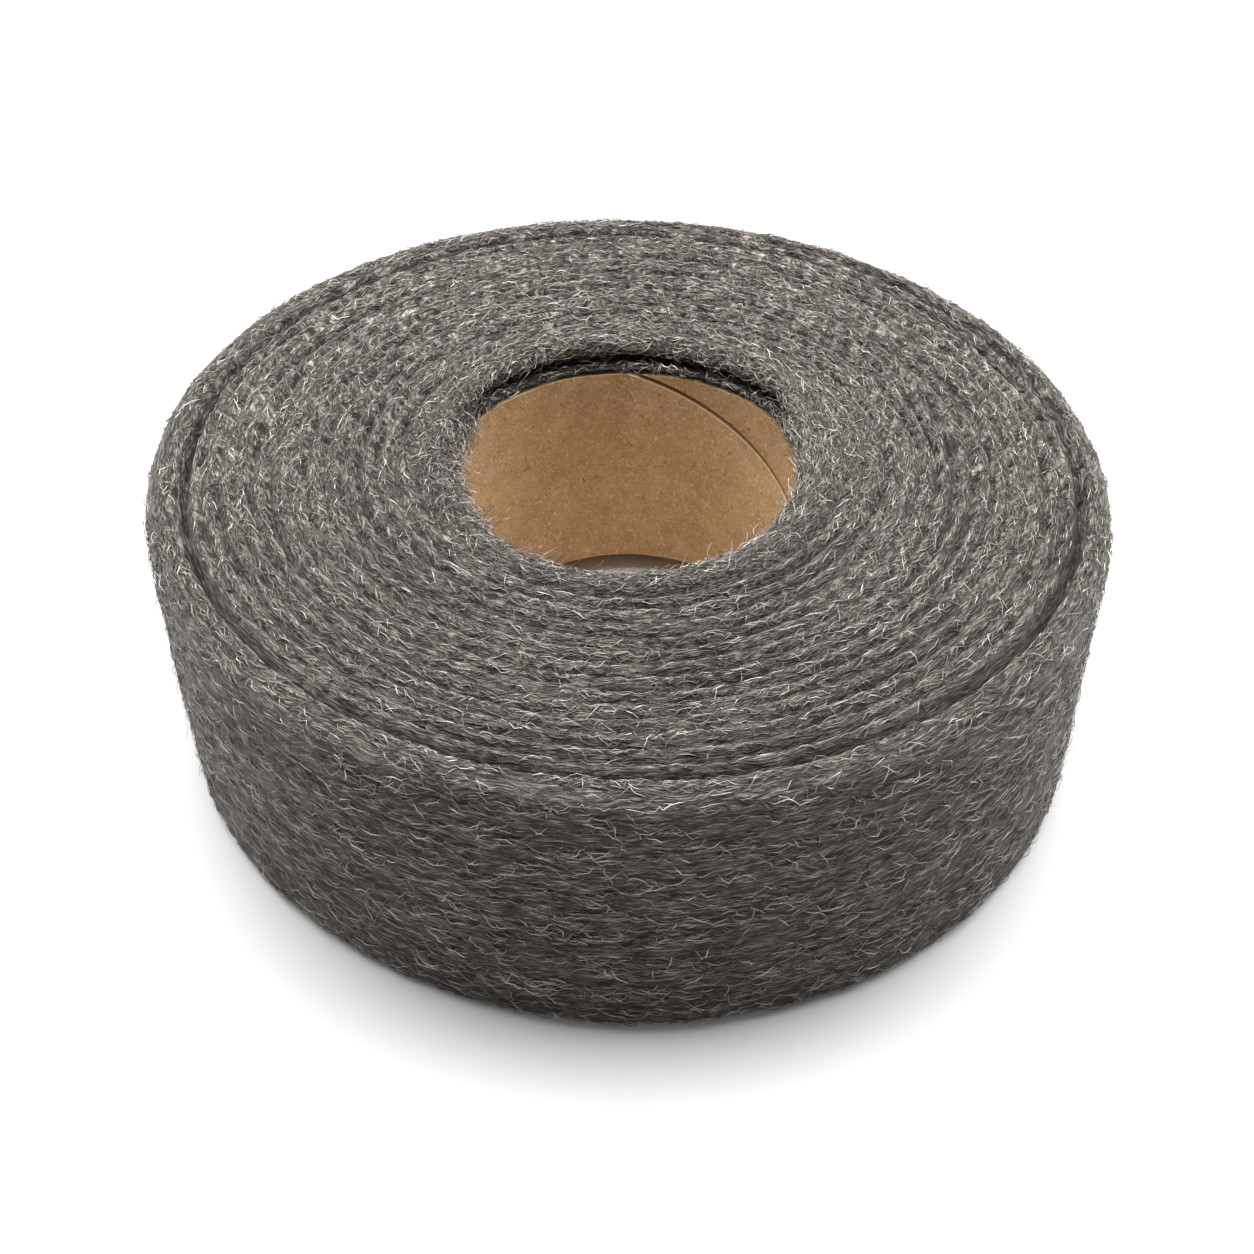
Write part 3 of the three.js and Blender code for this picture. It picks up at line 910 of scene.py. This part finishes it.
bpy.ops.object.mode_set(mode="OBJECT")
bpy.ops.object.modifier_add(type="SCREW")
winding = strip.modifiers[-1]
winding.screw_offset = SEAM_LEAD * MM
winding.iterations = STRIP_TURNS
winding.steps = TUBE_STEPS
winding.render_steps = TUBE_STEPS
winding.use_merge_vertices = False
bpy.ops.object.modifier_apply(modifier=winding.name)
saw(CORE_FOOT_Z, clear_above=False)
saw(CORE_TOP_Z, clear_above=True)
print("the wound strip has", len(strip.data.polygons), "faces")

# %% [markdown]
# The strips behind the innermost one don't show their seams, so they are one plain wall. It is an open
# cylinder at the strip's back, and Solidify gives it the rest of the wall outwards. Bevel rounds its
# edges a little, as a saw leaves cardboard.

# %% The wall behind the strip
WALL_EDGE_ROUND = 0.25

bpy.ops.object.select_all(action="DESELECT")
bpy.ops.mesh.primitive_cylinder_add(vertices=TUBE_STEPS, radius=(CORE_BORE_RADIUS + PLY) * MM,
                                    depth=(CORE_TOP_Z - CORE_FOOT_Z) * MM, end_fill_type="NOTHING",
                                    location=(0, 0, (CORE_TOP_Z + CORE_FOOT_Z) / 2 * MM))
wall = bpy.context.active_object
bpy.ops.object.transform_apply(location=True, rotation=True, scale=True)
bpy.ops.object.modifier_add(type="SOLIDIFY")
wall.modifiers[-1].thickness = (CORE_WALL - PLY) * MM
wall.modifiers[-1].offset = 1
bpy.ops.object.modifier_apply(modifier=wall.modifiers[-1].name)
bpy.ops.object.modifier_add(type="BEVEL")
wall.modifiers[-1].width = WALL_EDGE_ROUND * MM
wall.modifiers[-1].segments = 2
bpy.ops.object.modifier_apply(modifier=wall.modifiers[-1].name)
print("the wall has", len(wall.data.polygons), "faces")

strip.select_set(True)
bpy.context.view_layer.objects.active = strip
bpy.ops.object.join()
tube = bpy.context.active_object

# %% [markdown]
# A saw never cuts cardboard quite true. So the two ends wander up and down a little round the tube,
# always inwards, which keeps the tube within its length.

# %% The sawn ends
SAW_WANDER = 0.22
SAW_REACH = 1.5  # how far from the cut the tube's places move with it
SAW_ROW = 3.3  # the ends use one row of the table, and any will do
SMOOTH_ANGLE = math.radians(40)

saw_wander = wandering(21, 37, 1.0)
tube_places = np.empty(len(tube.data.vertices) * 3)
tube.data.vertices.foreach_get("co", tube_places)
tube_places = tube_places.reshape(-1, 3)
tube_angles = np.arctan2(tube_places[:, 1], tube_places[:, 0])
near_foot = 1 - smooth_step(tube_places[:, 2] / MM, CORE_FOOT_Z, CORE_FOOT_Z + SAW_REACH)
near_top = smooth_step(tube_places[:, 2] / MM, CORE_TOP_Z - SAW_REACH, CORE_TOP_Z)
wander = SAW_WANDER * MM * saw_wander(tube_angles, SAW_ROW)
tube_places[:, 2] += near_foot * (wander + SAW_WANDER * MM) - near_top * (wander + SAW_WANDER * MM)
tube.data.vertices.foreach_set("co", tube_places.reshape(-1))
bpy.ops.object.mode_set(mode="EDIT")
bpy.ops.mesh.select_all(action="SELECT")
bpy.ops.mesh.normals_make_consistent(inside=False)
bpy.ops.object.mode_set(mode="OBJECT")
bpy.ops.object.shade_smooth_by_angle(angle=SMOOTH_ANGLE)
print("the tube has", len(tube.data.polygons), "faces and", open_edges(tube), "open edges")

# %% [markdown]
# Kraft paper is unbleached, so it is brown and quite matt, with a soft cloudy tone, short pale fibres
# lying every way, and small dark flecks of bark. A noise for each, laid one over the other, gives all
# three. The pale fibres' noise also drives a faint bump.

# %% Kraft paper
CLOUD_MM = 6
HAIR_MM = 1.4
BARK_MM = 1.2
PAPER_BUMP_MM = 0.12

kraft, kraft_tree, kraft_shader = new_material("unbleached_kraft_paper_spiral_wound")
kraft_place = node(kraft_tree, "ShaderNodeTexCoord").outputs["Object"]
clouds = node(kraft_tree, "ShaderNodeTexNoise", Vector=kraft_place, Scale=scale_for(CLOUD_MM), Detail=4.0,
              Roughness=0.6)
kraft_tone = colour_ramp(kraft_tree, clouds.outputs["Fac"], [(0.3, "#a68863"), (0.7, "#bc9d77")])
hairs = node(kraft_tree, "ShaderNodeTexNoise", Vector=kraft_place, Scale=scale_for(HAIR_MM), Detail=3.0,
             Roughness=0.6, Distortion=2.6)
pale_hairs = node(kraft_tree, "ShaderNodeMapRange", Value=hairs.outputs["Fac"],
                  From_Min=0.52, From_Max=0.66)
with_hairs = node(kraft_tree, "ShaderNodeMix", {"data_type": "RGBA"}, i0=pale_hairs.outputs["Result"],
                  i6=kraft_tone, i7=linear("#d6ba93"))
bark = node(kraft_tree, "ShaderNodeTexNoise", Vector=kraft_place, Scale=scale_for(BARK_MM), Detail=3.0,
            Distortion=1.6)
dark_flecks = node(kraft_tree, "ShaderNodeMapRange", Value=bark.outputs["Fac"],
                   From_Min=0.60, From_Max=0.72)
with_bark = node(kraft_tree, "ShaderNodeMix", {"data_type": "RGBA"}, i0=dark_flecks.outputs["Result"],
                 i6=with_hairs.outputs[2], i7=linear("#84633f"))
kraft_shader.inputs["Roughness"].default_value = 0.85
kraft_shader.inputs["Specular IOR Level"].default_value = 0.25
kraft_bump = node(kraft_tree, "ShaderNodeBump", Height=hairs.outputs["Fac"], Strength=0.5,
                  Distance=PAPER_BUMP_MM * MM)
kraft_tree.links.new(kraft_bump.outputs["Normal"], kraft_shader.inputs["Normal"])
print("the clouds have a texture scale of", round(scale_for(CLOUD_MM)))

# %% [markdown]
# The seam is dark in its gap, and just below the gap it is paler: the cut edge of the strip is raw paper,
# and the paleness is also a painted highlight along that edge. The seam's place is worked out from the
# angle and the height, so that it follows the wound strip.

# %% The seam on the paper
# a pale band below the seam: raw paper, and partly a painted highlight along the strip's edge
RAW_EDGE_AND_HIGHLIGHT_BELOW_SEAM = 0.74
RAW_EDGE_AND_HIGHLIGHT_FROM, RAW_EDGE_AND_HIGHLIGHT_FULL = 0.28, 0.08  # distances from the raw edge's middle, in millimetres
GAP_FROM, GAP_FULL = 0.58, 0.4  # distances from the seam's middle, in millimetres

kraft_parts = node(kraft_tree, "ShaderNodeSeparateXYZ", Vector=kraft_place)
seam_angle = node(kraft_tree, "ShaderNodeMath", {"operation": "ARCTAN2"},
                  i0=kraft_parts.outputs["Y"], i1=kraft_parts.outputs["X"])
seam_height = node(kraft_tree, "ShaderNodeMath", {"operation": "MULTIPLY_ADD"},
                   i0=seam_angle.outputs["Value"], i1=SEAM_LEAD * MM / math.tau, i2=SEAM_Z_AT_X_AXIS * MM)
above_seam = node(kraft_tree, "ShaderNodeMath", {"operation": "SUBTRACT"},
                  i0=kraft_parts.outputs["Z"], i1=seam_height.outputs["Value"])
below_edge = node(kraft_tree, "ShaderNodeMath", {"operation": "ADD"},
                  i0=above_seam.outputs["Value"], i1=RAW_EDGE_AND_HIGHLIGHT_BELOW_SEAM * MM)
edge_distance = node(kraft_tree, "ShaderNodeMath", {"operation": "ABSOLUTE"},
                     i0=below_edge.outputs["Value"])
raw_edge_and_highlight = node(kraft_tree, "ShaderNodeMapRange", Value=edge_distance.outputs["Value"],
                 From_Min=RAW_EDGE_AND_HIGHLIGHT_FROM * MM, From_Max=RAW_EDGE_AND_HIGHLIGHT_FULL * MM, To_Max=0.8)
with_raw_edge_and_highlight = node(kraft_tree, "ShaderNodeMix", {"data_type": "RGBA"}, i0=raw_edge_and_highlight.outputs["Result"],
                 i6=with_bark.outputs[2], i7=linear("#e6cba6"))
gap_distance = node(kraft_tree, "ShaderNodeMath", {"operation": "ABSOLUTE"}, i0=above_seam.outputs["Value"])
dark_gap = node(kraft_tree, "ShaderNodeMapRange", Value=gap_distance.outputs["Value"],
                From_Min=GAP_FROM * MM, From_Max=GAP_FULL * MM, To_Max=0.9)
with_gap = node(kraft_tree, "ShaderNodeMix", {"data_type": "RGBA"}, i0=dark_gap.outputs["Result"],
                i6=with_raw_edge_and_highlight.outputs[2], i7=linear("#5a3d24"))
kraft_tree.links.new(with_gap.outputs[2], kraft_shader.inputs["Base Color"])
tube.data.materials.clear()
tube.data.materials.append(kraft)
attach(tube, "root")
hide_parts("cardboard_core")
print("the paper has", len(kraft_tree.nodes), "nodes, and its seam climbs", SEAM_LEAD, "mm in a turn")
